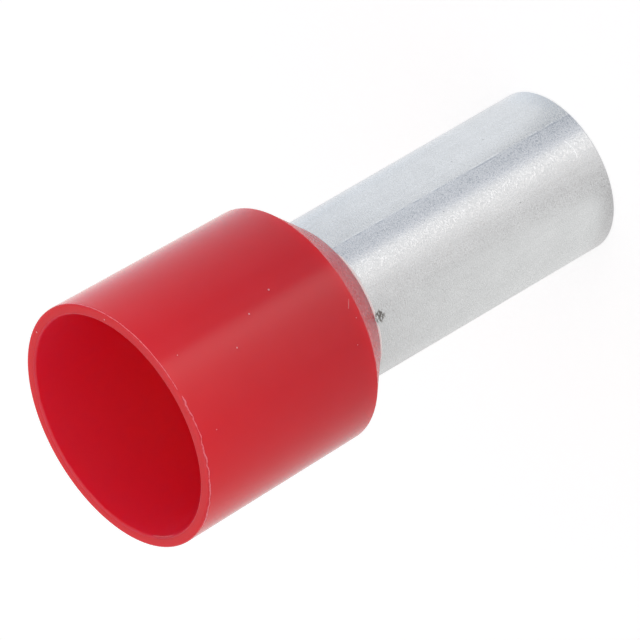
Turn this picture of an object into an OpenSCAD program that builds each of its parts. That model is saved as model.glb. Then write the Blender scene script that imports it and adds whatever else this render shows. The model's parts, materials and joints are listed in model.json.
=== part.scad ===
// Insulated wire ferrule for a 35 mm2 stranded cable, 30 mm long.
// A thin copper tube crimps round the bared strands. Its inner end is belled out, and
// the bell sits in the funnel of a moulded collar, which takes the cable's insulation.
// The ferrule stands on the end of its sleeve, with the mouth of the collar up.

/* [Sleeve] */
// Bore of the sleeve, which takes the bared strands
sleeve_bore = 8.3; // [7.4:0.1:9]
// Thickness of the sleeve's metal
sleeve_wall = 0.32; // [0.2:0.02:0.5]
// Length of sleeve that stands clear of the collar
sleeve_reach = 16.5; // [8:0.5:30]
// Radius of the bend between the tube and its bell, on the collar's side
bend_round = 1; // [0.8:0.05:1.2]
// Gap all round between the bell's edge and the collar's bore
bell_gap = 0.5; // [0.2:0.1:0.8]
// Radius on both edges of the sleeve's cut end
tip_round = 0.06; // [0.02:0.01:0.09]

/* [Collar] */
// Bore of the collar, which takes the end of the insulation
collar_bore = 12.2; // [11.4:0.1:13]
// Thickness of the barrel at its mouth
rim_wall = 0.62; // [0.5:0.02:1]
// Length of the barrel, from the mouth to the edge of the shoulder
barrel_len = 11.62; // [6:0.02:16]
// Angle by which the outside of the barrel narrows towards the shoulder
draft = 0.95; // [0:0.05:1.5]
// Length of the sloping shoulder
shoulder_len = 1.88; // [1.5:0.02:3]
// Thickness of the shoulder, square to its slope
shoulder_wall = 0.52; // [0.5:0.02:0.8]
// Thickness of the lip where the shoulder ends on the sleeve
lip_wall = 0.24; // [0.16:0.02:0.3]
// Gap all round between the sleeve and the collar's neck: a press fit has none
neck_gap = 0; // [0:0.01:0.04]
// Radius on both edges of the mouth's rim
rim_round = 0.08; // [0.02:0.01:0.15]
// Radius on the edge between the barrel and the shoulder
heel_round = 0.08; // [0.02:0.01:0.3]
// Radius inside the collar, where its bore runs into the funnel
root_round = 0.5; // [0.1:0.05:0.6]

/* [Hidden] */
$fn = 120;

// How far a cutting shape runs past what it cuts
spill = 0.05;
// How far an arc runs past the edges it rounds, so that it meets them cleanly
graze = 0.0002;

bore_r = collar_bore / 2;
mouth_r = bore_r + rim_wall;
bell_r = bore_r - bell_gap;
sleeve_r = sleeve_bore / 2 + sleeve_wall;
neck_r = sleeve_r + neck_gap;
lip_r = neck_r + lip_wall;
heel_z = sleeve_reach + shoulder_len;
mouth_z = heel_z + barrel_len;
heel_r = mouth_r - barrel_len * tan(draft);

// Slope of the shoulder and of the funnel inside it, measured from the axis
slope = atan2(heel_r - lip_r, shoulder_len);
// Height at which the funnel's slope would meet the neck if the bend were sharp
seat_z = sleeve_reach - lip_wall / tan(slope) + shoulder_wall / sin(slope);
// Height at which the funnel's slope meets the collar's bore
root_z = seat_z + (bore_r - neck_r) / tan(slope);
// Height of the bell's outer edge, which lies on the funnel
bell_z = seat_z + (bell_r - neck_r) / tan(slope) + neck_gap / sin(slope);

// Directions in the profile plane, as angles from the axis: [radius, height]
UP = 0;
OUT = 90;
DOWN = 180;
IN = -90;

// Point at a distance from another, in a given direction
function along(from, direction, distance) =
    from + distance * [sin(direction), cos(direction)];

// Corner of the seat's outline, drawn in from the collar's side by an inset
function seat_corner(inset) =
    [neck_r - inset, seat_z + inset * tan(slope / 2)];

// Sliver between a corner and the arc that rounds it. The corner's edges leave it in
// directions a and b, a the smaller, and the sliver spills a little past them both.
module corner_sliver(corner, a, b, radius) {
    half = (b - a) / 2;
    middle = (a + b) / 2;
    centre = along(corner, middle, radius / sin(half));
    difference() {
        polygon([
            centre,
            along(centre, a + IN, radius + spill),
            along(corner, middle, -spill / sin(half)),
            along(centre, b + OUT, radius + spill)
        ]);
        translate(centre) circle(radius + graze);
    }
}

// Half section of what lies inside the seat: a neck that opens into a funnel. An inset
// gives the parallel outline that far inside, as a bent sheet's two faces are.
module seat_section(inset) {
    corner = seat_corner(inset);
    polygon([
        [0, -spill],
        [corner[0], -spill],
        corner,
        along(corner, slope, mouth_z),
        [0, 2 * mouth_z]
    ]);
    corner_sliver(corner, slope, DOWN, bend_round + inset);
}

// Half section of the collar's outside, closed across its mouth
module collar_outline() {
    difference() {
        polygon([
            [0, sleeve_reach],
            [lip_r, sleeve_reach],
            [heel_r, heel_z],
            [mouth_r, mouth_z],
            [0, mouth_z]
        ]);
        corner_sliver([heel_r, heel_z], slope + IN * 2, draft, heel_round);
        corner_sliver([mouth_r, mouth_z], draft + IN * 2, IN, rim_round);
    }
}

// Half section of the space inside the collar: neck, funnel and straight bore
module collar_cavity() {
    difference() {
        intersection() {
            seat_section(0);
            square([bore_r, 2 * mouth_z]);
        }
        corner_sliver([bore_r, root_z], slope + IN * 2, UP, root_round);
    }
    corner_sliver([bore_r, mouth_z], OUT, DOWN, rim_round);
}

// Half section of the sleeve's outside, cut off square to the bell's slope at its edge
module sleeve_outline() {
    difference() {
        polygon([
            [0, 0],
            [sleeve_r, 0],
            seat_corner(neck_gap),
            [bell_r, bell_z],
            [0, bell_z + bell_r * tan(slope)]
        ]);
        corner_sliver([sleeve_r, 0], IN, UP, tip_round);
    }
    corner_sliver(seat_corner(neck_gap), slope, DOWN, bend_round + neck_gap);
}

module insulating_collar() {
    color([0.78, 0.17, 0.2])
        rotate_extrude()
            difference() {
                collar_outline();
                collar_cavity();
            }
}

module conductor_sleeve() {
    color([0.82, 0.83, 0.84])
        rotate_extrude()
            difference() {
                sleeve_outline();
                seat_section(neck_gap + sleeve_wall);
                corner_sliver([sleeve_bore / 2, 0], UP, OUT, tip_round);
            }
}

insulating_collar();
conductor_sleeve();
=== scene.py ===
"""Looks of an insulated wire ferrule for 35 mm2 cable.

A red moulded collar with an open mouth grips a thin tinned tube. Lengths are in metres, as in
the frame, and the ferrule stands on the tube's end with the mouth up. Angles round the axis are
counted from -Y towards +X, and the lists of marks and of lights give them in degrees.
"""

import json
import math

import bpy
from mathutils import Matrix, Vector


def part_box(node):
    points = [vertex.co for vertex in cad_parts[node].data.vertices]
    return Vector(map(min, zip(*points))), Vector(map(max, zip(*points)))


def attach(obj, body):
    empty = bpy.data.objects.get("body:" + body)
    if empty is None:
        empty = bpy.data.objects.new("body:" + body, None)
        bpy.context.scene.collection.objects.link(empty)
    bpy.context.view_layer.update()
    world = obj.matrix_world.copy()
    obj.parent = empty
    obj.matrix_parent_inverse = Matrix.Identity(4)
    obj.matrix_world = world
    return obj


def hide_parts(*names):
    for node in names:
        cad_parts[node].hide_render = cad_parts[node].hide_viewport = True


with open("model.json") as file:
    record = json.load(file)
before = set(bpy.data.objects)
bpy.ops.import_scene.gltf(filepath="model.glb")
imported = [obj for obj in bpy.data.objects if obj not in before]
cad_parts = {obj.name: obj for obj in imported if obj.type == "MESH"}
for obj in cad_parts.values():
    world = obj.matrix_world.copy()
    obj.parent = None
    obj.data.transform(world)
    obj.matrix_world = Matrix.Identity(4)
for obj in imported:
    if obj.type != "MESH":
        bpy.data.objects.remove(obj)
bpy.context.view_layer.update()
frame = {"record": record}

MM = 0.001

# ---------------------------------------------------------------- sizes from the frame

MOUNT = {mount["name"]: mount for mount in frame["record"]["mounts"]}


def mount_radius(name):
    """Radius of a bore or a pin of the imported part."""
    return MOUNT[name]["dims"]["r_mm"] * MM


collar_low, collar_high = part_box("insulating_collar")

STRAND_R = mount_radius("strand_bore")
BORE_R = mount_radius("insulation_bore")
SLEEVE_R = mount_radius("terminal_shank")
SLEEVE_REACH = collar_low.z
MOUTH_Z = collar_high.z
FLASH_PROUD = 0.018 * MM  # the flash stands this far out, so the collar is that much slimmer
MOUTH_R = collar_high.x - FLASH_PROUD

# Sizes that neither a box nor a mount gives
WALL = SLEEVE_R - STRAND_R
DRAFT = math.radians(0.95)
SHOULDER_LEN = 1.88 * MM
SHOULDER_WALL = 0.52 * MM
LIP_WALL = 0.24 * MM
NECK_GAP = 0.005 * MM
BEND_ROUND = 1.0 * MM
BELL_GAP = 0.5 * MM
RIM_ROUND = 0.12 * MM
INNER_RIM_ROUND = 0.15 * MM
ROOT_ROUND = 0.5 * MM
HEEL_ROUND = 0.09 * MM
LIP_ROUND = 0.05 * MM
TIP_ROUND = 0.06 * MM
BELL_ROUND = 0.04 * MM

NECK_R = SLEEVE_R + NECK_GAP
LIP_R = NECK_R + LIP_WALL
HEEL_Z = SLEEVE_REACH + SHOULDER_LEN
HEEL_R = MOUTH_R - (MOUTH_Z - HEEL_Z) * math.tan(DRAFT)
SLOPE = math.atan2(HEEL_R - LIP_R, SHOULDER_LEN)
SEAT_Z = SLEEVE_REACH - LIP_WALL / math.tan(SLOPE) + SHOULDER_WALL / math.sin(SLOPE)
ROOT_Z = SEAT_Z + (BORE_R - NECK_R) / math.tan(SLOPE)
BELL_R = BORE_R - BELL_GAP

# ---------------------------------------------------------------- helpers

# Settings of a Map Range node that steps smoothly, and of a Mix node that mixes colours
SMOOTH = {"interpolation_type": "SMOOTHSTEP"}
COLOUR = {"data_type": "RGBA"}


def linear(code):
    """An sRGB hex colour as linear values."""
    shares = [int(code[i : i + 2], 16) / 255 for i in (1, 3, 5)]
    return [s / 12.92 if s <= 0.04045 else ((s + 0.055) / 1.055) ** 2.4 for s in shares] + [1.0]


def add(tree, kind, inputs=(), **settings):
    """Adds a node with its settings. Its inputs are given by name, or in order as a tuple.

    Each is a value, or what it is linked from: a socket, or a node for its first output.
    """
    node = tree.nodes.new(kind)
    for name, value in settings.items():
        setattr(node, name, value)
    used = [socket for socket in node.inputs if socket.enabled]
    if isinstance(inputs, dict):
        pairs = [(next(s for s in used if s.name == name), inputs[name]) for name in inputs]
    else:
        pairs = zip(used, inputs)
    for socket, value in pairs:
        if isinstance(value, bpy.types.Node):
            value = next(s for s in value.outputs if s.enabled)
        if isinstance(value, bpy.types.NodeSocket):
            tree.links.new(value, socket)
        else:
            socket.default_value = value
    return node


def angle_round(tree, place):
    """Angle of a point round the axis."""
    apart = add(tree, "ShaderNodeSeparateXYZ", (place,)).outputs
    forward = add(tree, "ShaderNodeMath", (apart["Y"], -1.0), operation="MULTIPLY")
    return add(tree, "ShaderNodeMath", (apart["X"], forward), operation="ARCTAN2")


def stripe(tree, value, first, last):
    """1 inside a stripe and 0 outside. Each edge runs from where it has faded to where it is full."""
    rise = add(tree, "ShaderNodeMapRange", (value, *first), **SMOOTH)
    fall = add(tree, "ShaderNodeMapRange", (value, *last), **SMOOTH)
    return add(tree, "ShaderNodeMath", (rise, fall), operation="MULTIPLY")


def link_object(name, data):
    """A new object at the origin that shows a mesh or a camera."""
    made = bpy.data.objects.new(name, data)
    bpy.context.scene.collection.objects.link(made)
    return made


# ---------------------------------------------------------------- outlines

ARC_STEP = math.radians(9)  # step along a rounding
RUN = 0.4 * MM  # step along a straight stretch
HOLD = 0.03 * MM  # length of the first and last step of a straight stretch


def rounded(before, corner, after, radius):
    """Points of the arc that rounds a corner, or the corner itself."""
    if not radius:
        return [corner]
    a = (before - corner).normalized()
    b = (after - corner).normalized()
    half = a.angle(b) / 2
    centre = corner + (a + b).normalized() * radius / math.sin(half)
    start = (corner + a * radius / math.tan(half) - centre).normalized()
    end = (corner + b * radius / math.tan(half) - centre).normalized()
    steps = max(4, round((math.pi - 2 * half) / ARC_STEP))
    return [centre + start.slerp(end, i / steps) * radius for i in range(steps + 1)]


def straight(start, end):
    """Points between two arcs: one close to each end, which keeps the flat flat, and the rest even."""
    length = (end - start).length
    if length < 4 * HOLD:
        return []
    steps = max(1, round(length / RUN))
    shares = [i / steps for i in range(1, steps)]
    return [start.lerp(end, share) for share in [HOLD / length, *shares, 1 - HOLD / length]]


def outline(corners):
    """Closed outline through corners given as (radius, height, rounding), turned to face out."""
    places = [Vector((r, z)) for r, z, _ in corners]
    befores = places[-1:] + places[:-1]
    afters = places[1:] + places[:1]
    rounds = [rounding for _, _, rounding in corners]
    arcs = [rounded(*corner) for corner in zip(befores, places, afters, rounds)]
    points = []
    for arc, following in zip(arcs, arcs[1:] + arcs[:1]):
        points += arc + straight(arc[-1], following[0])
    return points[::-1]


def seat(inset):
    """Corner between the neck and the funnel, drawn in from the collar's side."""
    return NECK_R - inset, SEAT_Z + inset * math.tan(SLOPE / 2)


def collar_outline():
    """Half section of the collar: lip, shoulder, barrel, rim, bore, funnel and neck."""
    return outline(
        [
            (NECK_R, SLEEVE_REACH, 0),
            (LIP_R, SLEEVE_REACH, LIP_ROUND),
            (HEEL_R, HEEL_Z, HEEL_ROUND),
            (MOUTH_R, MOUTH_Z, RIM_ROUND),
            (BORE_R, MOUTH_Z, INNER_RIM_ROUND),
            (BORE_R, ROOT_Z, ROOT_ROUND),
            (*seat(0), BEND_ROUND),
        ]
    )


def sleeve_outline():
    """Half section of the tube, whose belled end lies on the collar's funnel."""
    outer = seat(NECK_GAP)
    inner = seat(NECK_GAP + WALL)
    edge = (BELL_R, outer[1] + (BELL_R - outer[0]) / math.tan(SLOPE))
    inner_edge = (edge[0] - WALL * math.cos(SLOPE), edge[1] + WALL * math.sin(SLOPE))
    return outline(
        [
            (STRAND_R, 0, TIP_ROUND),
            (SLEEVE_R, 0, TIP_ROUND),
            (*outer, BEND_ROUND + NECK_GAP),
            (*edge, BELL_ROUND),
            (*inner_edge, BELL_ROUND),
            (*inner, BEND_ROUND + NECK_GAP + WALL),
        ]
    )


# ---------------------------------------------------------------- geometry node trees

SEGMENTS = 384  # faces round a turned piece
CORE_R = 1 * MM  # radius of the circle that carries an outline round
BEAD_POINTS = 400  # points along a bead of flash
BEAD_SIDES = 6
BEAD_CORE = 0.004 * MM  # thickness that a bead keeps at its ends


def new_tree(name, *sizes):
    """A Geometry Nodes tree with a mesh in, a mesh out and named inputs: (name, kind, value)."""
    tree = bpy.data.node_groups.new(name, "GeometryNodeTree")
    face = tree.interface
    face.new_socket("Mesh", in_out="INPUT", socket_type="NodeSocketGeometry")
    for label, kind, value in sizes:
        socket = face.new_socket(label, in_out="INPUT", socket_type="NodeSocket" + kind)
        if value is not None:
            socket.default_value = value
    face.new_socket("Mesh", in_out="OUTPUT", socket_type="NodeSocketGeometry")
    return tree, add(tree, "NodeGroupInput").outputs


def close_tree(tree, mesh, material):
    """Smooths a tree's mesh and ends the tree with Realize Instances and Set Material."""
    smooth = add(tree, "GeometryNodeSetShadeSmooth", {"Geometry": mesh})
    real = add(tree, "GeometryNodeRealizeInstances", {"Geometry": smooth})
    painted = add(tree, "GeometryNodeSetMaterial", {"Geometry": real, "Material": material})
    add(tree, "NodeGroupOutput", {"Mesh": painted})


def turned_tree():
    """Turns an outline, given as edges with radius along X and height along Z, round the axis.

    A small circle carries it round, so the outline is first moved in by the circle's radius.
    """
    tree, given = new_tree(
        "turned_piece",
        ("Segments", "Int", SEGMENTS),
        ("Core Radius", "Float", CORE_R),
        ("Material", "Material", None),
    )
    inward = add(tree, "ShaderNodeMath", (given["Core Radius"], -1.0), operation="MULTIPLY")
    laid = add(
        tree,
        "GeometryNodeTransform",
        {
            "Geometry": given["Mesh"],
            "Translation": add(tree, "ShaderNodeCombineXYZ", {"X": inward}),
            "Rotation": (math.radians(90), 0, 0),
        },
    )
    section = add(tree, "GeometryNodeMeshToCurve", {"Mesh": laid})
    circle = add(
        tree,
        "GeometryNodeCurvePrimitiveCircle",
        {"Resolution": given["Segments"], "Radius": given["Core Radius"]},
    )
    upright = add(tree, "GeometryNodeSetCurveNormal", {"Curve": circle}, mode="Z_UP")
    swept = add(tree, "GeometryNodeCurveToMesh", {"Curve": upright, "Profile Curve": section})
    close_tree(tree, swept, given["Material"])
    return tree


def flash_tree():
    """A thin ragged bead along part of a circle, for flash on a mould's parting line and for the white
    bead that paints a highlight under the lip.
    """
    tree, given = new_tree(
        "flash_bead",
        ("Radius", "Float", BORE_R),
        ("Height", "Float", MOUTH_Z),
        ("Thickness", "Float", 0.06 * MM),
        ("Wander", "Float", 0.1 * MM),
        ("Start Angle", "Float", 0.0),
        ("Sweep Angle", "Float", 1.0),
        ("Ripple", "Float", 0.6 * MM),
        ("Seed", "Float", 0.0),
        ("Material", "Material", None),
    )
    # The arc counts its angles from +X, a quarter turn on from -Y
    from_front = (given["Start Angle"], math.radians(90))
    arc = add(
        tree,
        "GeometryNodeCurveArc",
        {
            "Resolution": BEAD_POINTS,
            "Radius": given["Radius"],
            "Start Angle": add(tree, "ShaderNodeMath", from_front, operation="SUBTRACT"),
            "Sweep Angle": given["Sweep Angle"],
        },
    )
    # Its height sways in ripples, and its thickness changes in teeth a few times finer
    place = add(tree, "GeometryNodeInputPosition")
    sway, teeth = [
        add(
            tree,
            "ShaderNodeTexNoise",
            {
                "Vector": place,
                "W": given["Seed"],
                "Scale": add(tree, "ShaderNodeMath", (count, given["Ripple"]), operation="DIVIDE"),
                "Detail": 4.0,
                "Roughness": 0.6,
            },
            noise_dimensions="4D",
        )
        for count in (1.0, 4.0)
    ]
    # The bead thins out towards both its ends
    way = add(tree, "GeometryNodeSplineParameter")
    across = add(tree, "ShaderNodeMath", (way, 2.0, -1.0), operation="MULTIPLY_ADD")
    from_middle = add(tree, "ShaderNodeMath", (across,), operation="ABSOLUTE")
    share = add(tree, "ShaderNodeMapRange", (from_middle, 1.0, 0.75), **SMOOTH)
    fullness = add(tree, "ShaderNodeMapRange", (teeth, 0.35, 0.65, 0.75, 1.2), **SMOOTH)
    share = add(tree, "ShaderNodeMath", (share, fullness), operation="MULTIPLY")
    size = add(tree, "ShaderNodeMath", (given["Thickness"], share), operation="MULTIPLY")
    size = add(tree, "ShaderNodeMath", (size, BEAD_CORE), operation="ADD")
    sway = add(tree, "ShaderNodeMath", (sway, 0.5), operation="SUBTRACT")
    heights = (sway, given["Wander"], given["Height"])
    lift = add(tree, "ShaderNodeMath", heights, operation="MULTIPLY_ADD")
    offset = add(tree, "ShaderNodeCombineXYZ", {"Z": lift})
    raised = add(tree, "GeometryNodeSetPosition", {"Geometry": arc, "Offset": offset})
    section = add(
        tree, "GeometryNodeCurvePrimitiveCircle", {"Resolution": BEAD_SIDES, "Radius": 0.5}
    )
    swept = add(
        tree,
        "GeometryNodeCurveToMesh",
        {"Curve": raised, "Profile Curve": section, "Scale": size, "Fill Caps": True},
    )
    close_tree(tree, swept, given["Material"])
    return tree


def grow(name, tree, values, points=()):
    """A plain mesh piece made by a tree, from a closed loop of points or from nothing."""
    count = len(points)
    loop = [(i, (i + 1) % count) for i in range(count)]
    base = bpy.data.meshes.new(name + "_base")
    base.from_pydata([(radius, 0, height) for radius, height in points], loop, [])
    source = link_object(name + "_base", base)
    modifier = source.modifiers.new("grow", "NODES")
    modifier.node_group = tree
    for item in tree.interface.items_tree:
        if item.in_out == "INPUT" and item.name in values:
            modifier[item.identifier] = values[item.name]
    graph = bpy.context.evaluated_depsgraph_get()
    mesh = bpy.data.meshes.new_from_object(source.evaluated_get(graph))
    bpy.data.objects.remove(source)
    mesh.name = name
    return link_object(name, mesh)


# ---------------------------------------------------------------- marks on the walls

# Specks of light dust moulded into the barrel: angle, height and size in millimetres
BARREL_SPECKS = [
    (18, 22.2, 0.13),
    (13, 24.0, 0.12),
    (3, 25.7, 0.11),
    (13, 28.8, 0.06),
    (-23, 28.8, 0.06),
    (-12, 18.7, 0.06),
    (-23, 19.2, 0.06),
]

# Specks on the rim's face: angle and size in millimetres
RIM_SPECKS = [(49, 0.1), (109, 0.12)]

# Pits in the tin: angle, height and size in millimetres
SLEEVE_PITS = [
    (13, 9.8, 0.12),
    (42, 7.2, 0.10),
    (27, 7.3, 0.10),
    (20, 8.2, 0.09),
    (-7, 5.6, 0.10),
    (45, 4.8, 0.10),
]

# A brown trace of flux where the tube enters the collar
FLUX_STAINS = [(-25, 16.0, 0.85)]

# Edge of a painted shade band along the tube, where its reflection turns dark in the camera's view: its
# angle at the tube's end, and its turn for each metre of height
LINE_ANGLE = math.radians(28)
LINE_TWIST = math.radians(2) / (15.7 * MM)

# Scratches, each a path of (angle, height) and a width in millimetres
SLEEVE_SCRATCHES = [([(13, 1.36), (6, 1.18), (0, 1.27)], 0.06)]
BARREL_SCRATCHES = [([(-6.7, 18.88), (-3.3, 18.62)], 0.055)]


def barrel_radius(height):
    """Outer radius of the barrel, which narrows from the mouth down."""
    return MOUTH_R - (MOUTH_Z - height) * math.tan(DRAFT)


def sleeve_radius(_height):
    """Outer radius of the tube, the same all along."""
    return SLEEVE_R


def on_wall(angle, height, radius):
    """Point on a round wall."""
    turn = math.radians(angle)
    return (math.sin(turn) * radius, -math.cos(turn) * radius, height)


def wall_spots(spots, radius_at):
    """Centres and sizes of spots on a wall, given as (angle, height, size) in millimetres."""
    return [(on_wall(a, z * MM, radius_at(z * MM)), size * MM) for a, z, size in spots]


def marks(tree, place, spots):
    """How far inside one of some round marks a point lies: 1 near a centre, 0 outside all."""
    total = 0.0
    for centre, size in spots:
        away = add(tree, "ShaderNodeVectorMath", (place, centre), operation="DISTANCE")
        near = add(tree, "ShaderNodeMapRange", (away, size / 2, size / 4), **SMOOTH)
        total = add(tree, "ShaderNodeMath", (total, near), operation="MAXIMUM")
    return total


def scratched(tree, place, scratches, radius_at):
    """How far inside one of some scratches a point lies: 1 near its line, 0 outside."""
    total = 0.0
    for path, width in scratches:
        points = [Vector(on_wall(a, z * MM, radius_at(z * MM))) for a, z in path]
        edges = (width * MM / 2, width * MM / 4)
        for start, end in zip(points, points[1:]):
            run = end - start
            leg = add(tree, "ShaderNodeVectorMath", (place, start), operation="SUBTRACT")
            gauge = run / run.length_squared
            along = add(tree, "ShaderNodeVectorMath", (leg, gauge), operation="DOT_PRODUCT")
            share = add(tree, "ShaderNodeClamp", (along,))
            foot = add(tree, "ShaderNodeVectorMath", (run, share), operation="SCALE")
            away = add(tree, "ShaderNodeVectorMath", (leg, foot), operation="DISTANCE")
            near = add(tree, "ShaderNodeMapRange", (away, *edges), **SMOOTH)
            total = add(tree, "ShaderNodeMath", (total, near), operation="MAXIMUM")
    return total


# ---------------------------------------------------------------- materials

PLASTIC_IOR = 1.49  # polypropylene


def new_material(name):
    """An empty node material and its tree."""
    material = bpy.data.materials.new(name)
    material.use_nodes = True
    material.node_tree.nodes.clear()
    return material, material.node_tree


def red_colour(tree, place, frosted, cored):
    """Red that drifts a little, paler on the shoulder, partly from its frosting and partly as painted
    light, and cooler inside, with its marks.
    """
    # Clouds of pigment, and the shoulder's paler colour: partly the pale look of its frosting, partly
    # painted light that lifts the shoulder where less light reaches it
    clouds = add(tree, "ShaderNodeTexNoise", {"Vector": place, "Scale": 1 / (2.5 * MM)})
    colour = add(tree, "ShaderNodeMix", (clouds, linear("#E21729"), linear("#E81B2D")), **COLOUR)
    # The shoulder is painted paler, partly for its frosting and partly as painted light
    colour = add(tree, "ShaderNodeMix", (frosted, colour, linear("#F03848")), **COLOUR)
    # Dust and a scratch
    rim_middle = (BORE_R + MOUTH_R) / 2
    spots = wall_spots(BARREL_SPECKS, barrel_radius)
    spots += [(on_wall(angle, MOUTH_Z, rim_middle), size * MM) for angle, size in RIM_SPECKS]
    speck = marks(tree, place, spots)
    colour = add(tree, "ShaderNodeMix", (speck, colour, linear("#FFB0BE")), **COLOUR)
    scratch = scratched(tree, place, BARREL_SCRATCHES, barrel_radius)
    scratch = add(tree, "ShaderNodeMath", (scratch, 0.6), operation="MULTIPLY")
    colour = add(tree, "ShaderNodeMix", (scratch, colour, linear("#F0A0A8")), **COLOUR)
    return add(tree, "ShaderNodeMix", (cored, colour, linear("#DA2240")), **COLOUR)


def red_polypropylene():
    """Moulded polypropylene: milky red that light soaks into, with a satin mould polish."""
    material, tree = new_material("red_polypropylene_moulded")
    place = add(tree, "ShaderNodeTexCoord").outputs["Object"]
    height = add(tree, "ShaderNodeSeparateXYZ", (place,)).outputs["Z"]
    # The shoulder's mould is spark-eroded, and the barrel's is polished
    heel = (HEEL_Z + 0.02 * MM, HEEL_Z - 0.03 * MM)
    frosted = add(tree, "ShaderNodeMapRange", (height, *heel), **SMOOTH)
    # The core that forms the inside is ground and not polished
    flat = add(tree, "ShaderNodeVectorMath", (place, (1, 1, 0)), operation="MULTIPLY")
    reach = add(tree, "ShaderNodeVectorMath", (flat,), operation="LENGTH")
    bore_wall = (BORE_R + 0.15 * MM, BORE_R + 0.05 * MM)
    inside = add(tree, "ShaderNodeMapRange", (reach, *bore_wall), **SMOOTH)
    unfrosted = add(tree, "ShaderNodeMath", (1.0, frosted), operation="SUBTRACT")
    cored = add(tree, "ShaderNodeMath", (inside, unfrosted), operation="MULTIPLY")
    polish = add(tree, "ShaderNodeTexNoise", {"Vector": place, "Scale": 1 / (0.5 * MM)})
    rough = add(tree, "ShaderNodeMath", (polish, 0.04, 0.1), operation="MULTIPLY_ADD")
    rough = add(tree, "ShaderNodeMath", (frosted, 0.15, rough), operation="MULTIPLY_ADD")
    rough = add(tree, "ShaderNodeMath", (cored, 0.3, rough), operation="MULTIPLY_ADD")
    # Orange peel all over, and the shoulder's grit, drawn coarser than the real 0.02 mm to show
    peel = add(
        tree, "ShaderNodeTexNoise", {"Vector": place, "Scale": 1 / (0.35 * MM), "Detail": 1.0}
    )
    grit = add(
        tree, "ShaderNodeTexNoise", {"Vector": place, "Scale": 1 / (0.06 * MM), "Detail": 3.0}
    )
    relief = add(tree, "ShaderNodeMath", (grit, frosted), operation="MULTIPLY")
    relief = add(tree, "ShaderNodeMath", (relief, 2.0), operation="MULTIPLY")
    relief = add(tree, "ShaderNodeMath", (peel, 0.15, relief), operation="MULTIPLY_ADD")
    bump = add(
        tree, "ShaderNodeBump", {"Height": relief, "Strength": 0.5, "Distance": 0.01 * MM}
    )
    shader = add(
        tree,
        "ShaderNodeBsdfPrincipled",
        {
            "Base Color": red_colour(tree, place, frosted, cored),
            "Roughness": rough,
            "IOR": PLASTIC_IOR,
            "Subsurface Weight": 1.0,
            "Subsurface Radius": (1.0, 0.12, 0.10),  # red light travels furthest
            "Subsurface Scale": 2.5 * MM,
            "Normal": bump,
        },
        subsurface_method="RANDOM_WALK",
    )
    add(tree, "ShaderNodeOutputMaterial", {"Surface": shader})
    return material


def bead_polypropylene(name, low, high):
    """Polypropylene for a bead, in a colour between low and high. On the flash the paleness is partly
    painted highlight, and on the lip bead the white is painted highlight.
    """
    material, tree = new_material(name)
    place = add(tree, "ShaderNodeTexCoord").outputs["Object"]
    patches = add(tree, "ShaderNodeTexNoise", {"Vector": place, "Scale": 1 / (0.4 * MM)})
    colour = add(tree, "ShaderNodeMix", (patches, linear(low), linear(high)), **COLOUR)
    shader = add(
        tree,
        "ShaderNodeBsdfPrincipled",
        {"Base Color": colour, "Roughness": 0.4, "IOR": PLASTIC_IOR},
    )
    add(tree, "ShaderNodeOutputMaterial", {"Surface": shader})
    return material


def painted_shade_band(tree, place, colour):
    """Adds a painted shade band along the tube where its reflection is dark in the camera's view, with a
    broken painted highlight and a painted dark line at its edge.
    """
    height = add(tree, "ShaderNodeSeparateXYZ", (place,)).outputs["Z"]
    line = add(tree, "ShaderNodeMath", (height, LINE_TWIST, LINE_ANGLE), operation="MULTIPLY_ADD")
    turn = add(tree, "ShaderNodeMath", (angle_round(tree, place), line), operation="SUBTRACT")
    beside = add(tree, "ShaderNodeMath", (turn, SLEEVE_R), operation="MULTIPLY")
    # The painted shade band lies on one side of the line, and the line has a painted highlight edge and
    # a painted shade edge
    band = stripe(tree, beside, (-1.5 * MM, -0.9 * MM), (0.12 * MM, -0.12 * MM))
    colour = add(tree, "ShaderNodeMix", (band, colour, linear("#DADCE0")), **COLOUR)
    gaps = add(
        tree, "ShaderNodeTexNoise", {"Vector": place, "Scale": 1 / (0.8 * MM), "Detail": 3.0}
    )
    broken = add(tree, "ShaderNodeMapRange", (gaps, 0.42, 0.58, 0.0, 0.6), **SMOOTH)
    # A painted highlight along the band's edge
    bright = stripe(tree, beside, (-0.02 * MM, 0.03 * MM), (0.1 * MM, 0.05 * MM))
    bright = add(tree, "ShaderNodeMath", (bright, broken), operation="MULTIPLY")
    colour = add(tree, "ShaderNodeMix", (bright, colour, linear("#F6F7F8")), **COLOUR)
    # A painted shade line beside it
    dark = stripe(tree, beside, (-0.12 * MM, -0.06 * MM), (0.0, -0.04 * MM))
    dark = add(tree, "ShaderNodeMath", (dark, broken), operation="MULTIPLY")
    return add(tree, "ShaderNodeMix", (dark, colour, linear("#AEB4BE")), **COLOUR)


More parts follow.
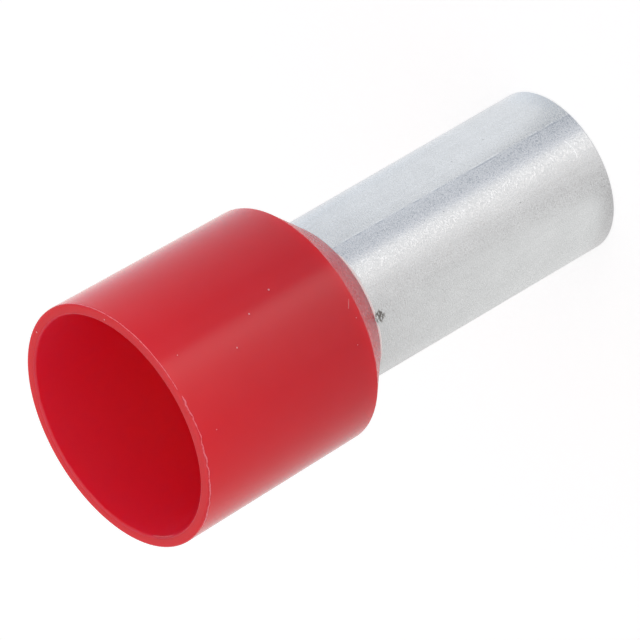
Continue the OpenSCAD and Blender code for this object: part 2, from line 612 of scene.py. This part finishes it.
def tin_colour(tree, place, flat):
    """Pale grey in faint streaks along the tube, with a painted shade band and highlight line, pits,
    flux and a scratch.
    """
    along = add(tree, "ShaderNodeVectorMath", (place, (1, 1, 0.03)), operation="MULTIPLY")
    tone = add(
        tree, "ShaderNodeTexNoise", {"Vector": place, "Scale": 1 / (1.5 * MM), "Detail": 3.0}
    )
    streaks = add(
        tree, "ShaderNodeTexNoise", {"Vector": along, "Scale": 1 / (0.3 * MM), "Detail": 3.0}
    )
    tone = add(tree, "ShaderNodeMath", (tone, 0.6), operation="MULTIPLY")
    tone = add(tree, "ShaderNodeMath", (streaks, 0.4, tone), operation="MULTIPLY_ADD")
    tone = add(tree, "ShaderNodeMapRange", (tone, 0.25, 0.75), **SMOOTH)
    colour = add(tree, "ShaderNodeMix", (tone, linear("#DCDDDE"), linear("#E4E5E6")), **COLOUR)
    # Painted shade and highlight where the tube's reflection is dark
    colour = painted_shade_band(tree, place, colour)
    pits = marks(tree, place, wall_spots(SLEEVE_PITS, sleeve_radius))
    pits = add(tree, "ShaderNodeMath", (pits, 0.6), operation="MULTIPLY")
    colour = add(tree, "ShaderNodeMix", (pits, colour, linear("#8C8F92")), **COLOUR)
    stain = marks(tree, place, wall_spots(FLUX_STAINS, sleeve_radius))
    crumbs = add(tree, "ShaderNodeTexNoise", {"Vector": flat, "Scale": 1 / (0.2 * MM)})
    crumbs = add(tree, "ShaderNodeMapRange", (crumbs, 0.46, 0.52, 0.0, 0.85), **SMOOTH)
    stain = add(tree, "ShaderNodeMath", (stain, crumbs), operation="MULTIPLY")
    colour = add(tree, "ShaderNodeMix", (stain, colour, linear("#5E5650")), **COLOUR)
    scratch = scratched(tree, place, SLEEVE_SCRATCHES, sleeve_radius)
    return add(tree, "ShaderNodeMix", (scratch, colour, linear("#F6F7F8")), **COLOUR)


def tinned_copper():
    """Matt electroplated tin on drawn copper tube: pale satin grey with a fine sparkling grain."""
    material, tree = new_material("tin_plated_copper_drawn")
    place = add(tree, "ShaderNodeTexCoord").outputs["Object"]
    # The plating's crystals are drawn out across the tube
    flat = add(tree, "ShaderNodeVectorMath", (place, (1, 1, 2)), operation="MULTIPLY")
    # Real crystals are a few thousandths of a millimetre, and are drawn coarser to show
    crystals = add(
        tree, "ShaderNodeTexNoise", {"Vector": place, "Scale": 1 / (0.03 * MM), "Detail": 0.0}
    )
    rough = add(tree, "ShaderNodeMapRange", (crystals, 0.4, 0.5, 0.27, 0.57), **SMOOTH)
    # A few crystals have grown large and flat, and glint
    large = add(tree, "ShaderNodeTexNoise", {"Vector": flat, "Scale": 1 / (0.11 * MM)})
    matt = add(tree, "ShaderNodeMapRange", (large, 0.54, 0.6, 1.0, 0.38), **SMOOTH)
    rough = add(tree, "ShaderNodeMath", (rough, matt), operation="MULTIPLY")
    ripples = add(
        tree, "ShaderNodeTexNoise", {"Vector": flat, "Scale": 1 / (0.14 * MM), "Detail": 3.0}
    )
    bump = add(
        tree, "ShaderNodeBump", {"Height": ripples, "Strength": 1.0, "Distance": 0.016 * MM}
    )
    shader = add(
        tree,
        "ShaderNodeBsdfPrincipled",
        {
            "Base Color": tin_colour(tree, place, flat),
            "Metallic": 1.0,
            "Roughness": rough,
            "Normal": bump,
        },
    )
    add(tree, "ShaderNodeOutputMaterial", {"Surface": shader})
    return material


# ---------------------------------------------------------------- pieces


def finish_piece(piece, slot, *nodes):
    """Attaches a piece to the root body and hides the imported nodes it stands for. Its slot, the finish
    it takes, is not used.
    """
    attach(piece, "root")
    if nodes:
        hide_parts(*nodes)


def build_bead(name, tree, material, angles, seed, **sizes):
    """One bead between two angles in degrees, with its sizes in metres: flash, the nub, and the lip's
    painted highlight.
    """
    first, last = angles
    values = {label.title(): size for label, size in sizes.items()}
    values["Start Angle"] = math.radians(first)
    values["Sweep Angle"] = math.radians(last - first)
    values["Seed"] = float(seed)
    values["Material"] = material
    finish_piece(grow(name, tree, values), "red_polypropylene")


def build_flash():
    """Flash on the rim's outer edge, its pale colour partly painted highlight, a torn nub on its inner
    edge, and a white bead under the lip that is a painted highlight.
    """
    tree = flash_tree()
    # The flash's pale colour is partly a painted highlight along the rim's edge
    pale = bead_polypropylene("flash_painted_highlight", "#FF6478", "#FF8C9C")
    nub = bead_polypropylene("torn_polypropylene_nub", "#E83C4A", "#F06470")
    # The lip bead's white is a painted highlight along the lip's edge
    white = bead_polypropylene("lip_painted_highlight", "#FFF0EE", "#FFFAF8")
    front = {
        "radius": MOUTH_R + FLASH_PROUD - 0.047 * MM,
        "height": MOUTH_Z - 0.14 * MM,
        "thickness": 0.084 * MM,
        "wander": 0.5 * MM,
        "ripple": 0.9 * MM,
    }
    rim = {
        "radius": MOUTH_R - 0.024 * MM,
        "height": MOUTH_Z - 0.09 * MM,
        "thickness": 0.052 * MM,
        "ripple": 0.6 * MM,
    }
    bore = {
        "radius": BORE_R + 0.03 * MM,
        "height": MOUTH_Z - 0.11 * MM,
        "thickness": 0.1 * MM,
        "wander": 0.04 * MM,
        "ripple": 0.4 * MM,
    }
    lip = {
        "radius": LIP_R - 0.11 * MM,
        "height": SLEEVE_REACH - 0.09 * MM,
        "thickness": 0.2 * MM,
        "wander": 0.02 * MM,
        "ripple": 3 * MM,
    }
    build_bead("front_flash", tree, pale, (-80, 4), seed=4, **front)
    build_bead("side_flash", tree, pale, (-4, 52), seed=2, wander=0.05 * MM, **rim)
    build_bead("top_flash", tree, pale, (44, 90), seed=3, wander=0.04 * MM, **rim)
    build_bead("bore_nub", tree, nub, (-115, -95), seed=9, **bore)
    # White beads under the lip that paint its highlight
    build_bead("lip_highlight_bead", tree, white, (-25, 25), seed=1, **lip)
    build_bead("low_lip_highlight_bead", tree, white, (-57, -26), seed=1, **lip)


def build_ferrule():
    """The collar, the tube in it and the flash left on the collar."""
    turned = turned_tree()
    collar = grow("collar_moulding", turned, {"Material": red_polypropylene()}, collar_outline())
    finish_piece(collar, "red_polypropylene", "insulating_collar")
    sleeve = grow("sleeve_tube", turned, {"Material": tinned_copper()}, sleeve_outline())
    finish_piece(sleeve, "tinned_copper", "conductor_sleeve")
    build_flash()


# ---------------------------------------------------------------- studio

# Light that shiny walls pick up from panels round the axis: angle and strength
GLOW = [
    (-180, 0.85),
    (-128, 0.73),
    (-96, 0.58),
    (-45, 0.54),
    (-16, 0.78),
    (0, 1.02),
    (17, 1.5),
    (24, 1.3),
    (32, 0.62),
    (50, 0.49),
    (100, 0.8),
    (160, 1.08),
    (180, 0.85),
]

# Heights between which the light for shine changes, as the sine of the angle from level
BOX_FOOT = (-0.2, 0.0)
RING_FOOT = (-0.62, -0.8)

# Heights between which the plain light weakens overhead
TENT_TOP = (0.45, 0.8)

WHITE = (1, 1, 1, 1)


def panel_light(tree, direction, apart):
    """Light from the ring of panels, cooler on the right."""
    turn = angle_round(tree, direction)
    share = add(
        tree, "ShaderNodeMath", (turn, 1 / (2 * math.pi), 0.5), operation="MULTIPLY_ADD"
    )
    glow = add(tree, "ShaderNodeValToRGB", (share,))
    stops = glow.color_ramp.elements
    stops.remove(stops[1])
    for angle, strength in GLOW:
        stop = stops[0] if angle == GLOW[0][0] else stops.new(angle / 360 + 0.5)
        stop.position = angle / 360 + 0.5
        stop.color = (strength, strength, strength, 1)
    side = add(tree, "ShaderNodeMapRange", (apart["X"], 0.25, 0.55), **SMOOTH)
    warm, cool = (1.02, 1.0, 0.99, 1), (0.945, 1.01, 1.095, 1)
    tint = add(tree, "ShaderNodeMix", (side, warm, cool), **COLOUR)
    return add(tree, "ShaderNodeVectorMath", (glow, tint), operation="MULTIPLY")


def shine_light(tree, direction, apart):
    """Light for shine: panels in a ring below the horizon, an even tent under them, a soft box above."""
    panels = panel_light(tree, direction, apart)
    below = add(tree, "ShaderNodeMapRange", (apart["Z"], *RING_FOOT), **SMOOTH)
    even = (0.75, 0.75, 0.76, 1)
    seen = add(tree, "ShaderNodeMix", (below, panels, even), **COLOUR)
    above = add(tree, "ShaderNodeMapRange", (apart["Z"], *BOX_FOOT), **SMOOTH)
    # The soft box hangs over the front and fades towards the back
    forward = add(tree, "ShaderNodeMath", (apart["Z"], apart["Y"]), operation="SUBTRACT")
    soft_box = add(tree, "ShaderNodeMapRange", (forward, -0.3, 1.0, 0.55, 1.2), **SMOOTH)
    return add(tree, "ShaderNodeMix", (above, seen, soft_box), **COLOUR)


def plain_light(tree, apart):
    """Light for all else: an even tent, a little stronger on the right and weaker overhead."""
    across = add(tree, "ShaderNodeMapRange", (apart["X"], -1, 1), **SMOOTH)
    left, right = (0.9, 0.9, 0.9, 1), (1.0, 1.0, 1.02, 1)
    sides = add(tree, "ShaderNodeMix", (across, left, right), **COLOUR)
    overhead = add(tree, "ShaderNodeMapRange", (apart["Z"], *TENT_TOP), **SMOOTH)
    return add(tree, "ShaderNodeMix", (overhead, sides, (0.56, 0.56, 0.56, 1)), **COLOUR)


def studio_world():
    """A light tent, plain for matt walls and with panels for shiny ones, that shows white."""
    world = bpy.data.worlds.new("light_tent")
    bpy.context.scene.world = world
    world.use_nodes = True
    tree = world.node_tree
    tree.nodes.clear()
    direction = add(tree, "ShaderNodeTexCoord").outputs["Generated"]
    apart = add(tree, "ShaderNodeSeparateXYZ", (direction,)).outputs
    plain = plain_light(tree, apart)
    shine = shine_light(tree, direction, apart)
    path = add(tree, "ShaderNodeLightPath").outputs
    lit = add(tree, "ShaderNodeMix", (path["Is Glossy Ray"], plain, shine), **COLOUR)
    lit = add(tree, "ShaderNodeMix", (path["Is Camera Ray"], lit, WHITE), **COLOUR)
    back = add(tree, "ShaderNodeBackground", {"Color": lit})
    add(tree, "ShaderNodeOutputWorld", {"Surface": back})
    # Only rays that leave a surface find the tent, so that shine sees its panels and no more
    world.cycles.sampling_method = "NONE"


FLOOR_HALF = 1.5
FLOOR_GLOW = 0.42  # lifts the lit floor to white for the camera, and leaves the shadow


def studio_floor():
    """A wide pale table. It shows white to the camera and keeps the ferrule's soft shadow."""
    corners = [(-1, -1), (1, -1), (1, 1), (-1, 1)]
    mesh = bpy.data.meshes.new("floor")
    mesh.from_pydata([(x * FLOOR_HALF, y * FLOOR_HALF, 0) for x, y in corners], [], [(0, 1, 2, 3)])
    floor = link_object("floor", mesh)
    material, tree = new_material("white_table")
    path = add(tree, "ShaderNodeLightPath").outputs
    rays = (path["Is Camera Ray"], path["Is Transmission Ray"])
    shown = add(tree, "ShaderNodeMath", rays, operation="MAXIMUM")
    shader = add(
        tree,
        "ShaderNodeBsdfPrincipled",
        {
            "Base Color": linear("#EDEDED"),
            "Roughness": 0.9,
            "Specular IOR Level": 0.0,
            "Emission Color": WHITE,
            "Emission Strength": add(
                tree, "ShaderNodeMath", (shown, FLOOR_GLOW), operation="MULTIPLY"
            ),
        },
    )
    add(tree, "ShaderNodeOutputMaterial", {"Surface": shader})
    mesh.materials.append(material)
    floor.visible_glossy = False


CARD_NEAR = 5.5 * MM
CARD_FAR = 31 * MM
CARD_LIFT = 0.02 * MM
CARD_SIDES = 96


def pale_card():
    """A card that glows in two stretches, left and right of the front, and is clear elsewhere."""
    material, tree = new_material("pale_card")
    place = add(tree, "ShaderNodeTexCoord").outputs["Object"]
    turn = angle_round(tree, place)
    sides = [((-170, -130), (-22, -50)), ((38, 60), (130, 100))]
    left, right = [
        stripe(tree, turn, map(math.radians, first), map(math.radians, last))
        for first, last in sides
    ]
    shown = add(tree, "ShaderNodeMath", (left, right), operation="MAXIMUM")
    warm, cool = (0.88, 0.88, 0.87, 1), (0.95, 0.98, 1.02, 1)
    light = add(tree, "ShaderNodeMix", (right, warm, cool), **COLOUR)
    glow = add(tree, "ShaderNodeEmission", {"Color": light})
    clear = add(tree, "ShaderNodeBsdfTransparent")
    surface = add(tree, "ShaderNodeMixShader", (shown, clear, glow))
    add(tree, "ShaderNodeOutputMaterial", {"Surface": surface})
    return material


def studio_card():
    """A pale ring lying under the ferrule, which only shine picks up."""
    count = CARD_SIDES
    turns = [2 * math.pi * i / count for i in range(count)]
    places = [
        (math.sin(turn) * radius, math.cos(turn) * radius, CARD_LIFT)
        for radius in (CARD_NEAR, CARD_FAR)
        for turn in turns
    ]
    faces = [(i, (i + 1) % count, count + (i + 1) % count, count + i) for i in range(count)]
    mesh = bpy.data.meshes.new("card")
    mesh.from_pydata(places, [], faces)
    mesh.materials.append(pale_card())
    card = link_object("card", mesh)
    card.visible_camera = False
    card.visible_diffuse = False
    card.visible_transmission = False
    card.visible_shadow = False


CAMERA_ELEVATION = math.radians(31.87)
CAMERA_ROLL = math.radians(239.62)
CAMERA_DISTANCE = 494 * MM
CAMERA_AIM = (10.067 * MM, 5.2725 * MM)  # right of and above the mouth's centre, in the view
CAMERA_LENS = 561.5
CAMERA_SENSOR = 36


def studio_camera():
    """A long lens that looks down into the mouth, rolled so that the ferrule lies at a slant."""
    camera = link_object("camera", bpy.data.cameras.new("camera"))
    camera.data.lens = CAMERA_LENS
    camera.data.sensor_width = CAMERA_SENSOR
    back = Vector((0, -math.cos(CAMERA_ELEVATION), math.sin(CAMERA_ELEVATION)))
    level = Vector((1, 0, 0))
    lift = back.cross(level)
    right = level * math.cos(CAMERA_ROLL) + lift * math.sin(CAMERA_ROLL)
    up = back.cross(right)
    aim = Vector((0, 0, MOUTH_Z)) + right * CAMERA_AIM[0] + up * CAMERA_AIM[1]
    turned = Matrix((right, up, back)).transposed().to_4x4()
    camera.matrix_world = Matrix.Translation(aim + back * CAMERA_DISTANCE) @ turned
    bpy.context.scene.camera = camera


build_ferrule()
studio_world()
studio_floor()
studio_card()
studio_camera()
bpy.context.scene.view_settings.view_transform = "Standard"
